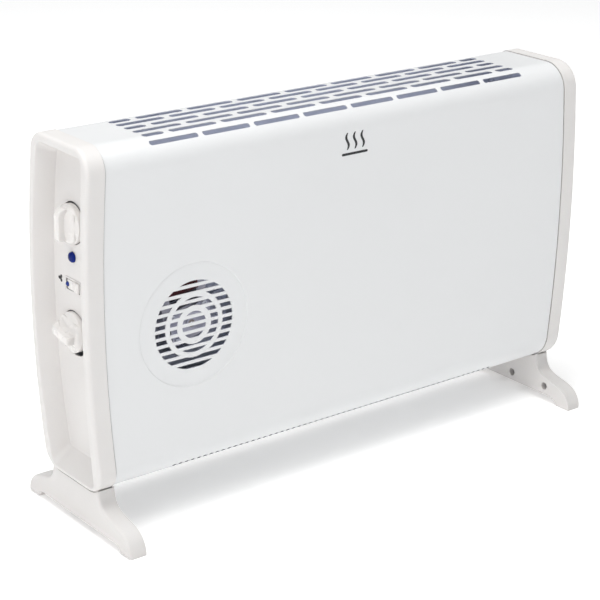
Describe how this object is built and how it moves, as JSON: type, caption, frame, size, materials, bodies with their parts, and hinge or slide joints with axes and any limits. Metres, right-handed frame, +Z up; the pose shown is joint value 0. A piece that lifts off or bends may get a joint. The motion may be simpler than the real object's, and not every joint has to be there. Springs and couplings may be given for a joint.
{
  "type": "fan convector heater",
  "caption": "Free-standing flat convector heater: slotted steel wrap between bowed plastic end caps, recessed end controls, round fan grille, wishbone feet and a tied mains lead.",
  "frame": {"origin": "on the floor, under the middle of the heater", "axes": "+X along the heater's length from the control end to the blank end, +Y towards the back, +Z up"},
  "size_m": [0.6492, 0.1942, 0.4],
  "materials": {
    "cap_plastic": "satin",
    "steel_white": "powder coat",
    "knob_plastic": "gloss",
    "galvanised": "galvanised",
    "zinc": "zinc plated",
    "bright_steel": "ground",
    "stainless": "heat tinted",
    "fins": "mill",
    "ceramic": "glazed",
    "tab_brass": "plated",
    "nickel_pin": "nickel plated",
    "bronze": "sintered",
    "black_plastic": "satin",
    "grey_plastic": "satin",
    "lens_blue": "clear tinted",
    "neon_glass": "clear",
    "print_black": "ink",
    "dot_blue": "moulded",
    "lamination": "varnished",
    "coil_red": "taped",
    "die_cast": "die cast",
    "cable_white": "PVC",
    "wire_brown": "PVC",
    "wire_blue": "PVC",
    "wire_black": "silicone"
  },
  "bodies": {
    "body": {"end_cap_left": "cap_plastic", "end_cap_right": "cap_plastic", "front_panel": "steel_white", "back_panel": "steel_white", "panel_screws": "zinc", "front_mark": "print_black", "foot_left": "cap_plastic", "foot_right": "cap_plastic", "foot_cover_left": "cap_plastic", "foot_cover_right": "cap_plastic", "foot_cover_screws": "zinc", "foot_bolts": "zinc", "control_bracket": "galvanised", "bracket_screws": "zinc", "selector_switch": "black_plastic", "thermostat_body": "ceramic", "thermostat_bimetal": "tab_brass", "panel_nuts": "zinc", "rocker_housing": "cap_plastic", "switch_tabs": "tab_brass", "fan_symbol": "print_black", "pilot_lens": "lens_blue", "lamp_holder": "cap_plastic", "neon_lamp": "neon_glass", "partition_left": "galvanised", "partition_right": "galvanised", "heat_shield": "galvanised", "element_rods": "stainless", "element_fins": "fins", "element_insulators": "ceramic", "element_terminals": "zinc", "thermal_cutout": "black_plastic", "cutout_clamp": "zinc", "terminal_block": "ceramic", "terminal_screws": "tab_brass", "motor_stator": "lamination", "motor_coil": "coil_red", "motor_bridges": "die_cast", "motor_bushes": "bronze", "motor_bracket": "galvanised", "motor_screws": "zinc", "fan_shroud": "galvanised", "cord_grip": "cap_plastic", "mains_cord": "cable_white", "cord_tie": "black_plastic", "mains_plug": "cable_white", "plug_pins": "nickel_pin", "wire_live": "wire_brown", "wire_neutral": "wire_blue", "wire_switched": "wire_black"},
    "selector": {"selector_knob": "knob_plastic", "selector_spindle": "grey_plastic"},
    "thermostat": {"thermostat_knob": "knob_plastic", "thermostat_spindle": "bright_steel"},
    "rocker": {"fan_rocker": "knob_plastic", "rocker_dot": "dot_blue"},
    "fan_rotor": {"fan_impeller": "die_cast", "motor_rotor": "die_cast", "motor_shaft": "bright_steel"}
  },
  "joints": [
    {"name": "selector_turn", "type": "hinge", "parent": "body", "child": "selector", "pos_m": [-0.304, 0, 0.317], "axis": [1, 0, 0], "range_deg": [0, 135]},
    {"name": "thermostat_turn", "type": "hinge", "parent": "body", "child": "thermostat", "pos_m": [-0.304, 0, 0.207], "axis": [1, 0, 0], "range_deg": [-60, 210]},
    {"name": "fan_switch", "type": "hinge", "parent": "body", "child": "rocker", "pos_m": [-0.3027, 0, 0.2555], "axis": [0, 0, 1], "range_deg": [0, 14]},
    {"name": "fan_spin", "type": "hinge", "parent": "body", "child": "fan_rotor", "pos_m": [-0.2009, -0.034, 0.2064], "axis": [0, 1, 0], "continuous": true}
  ]
}
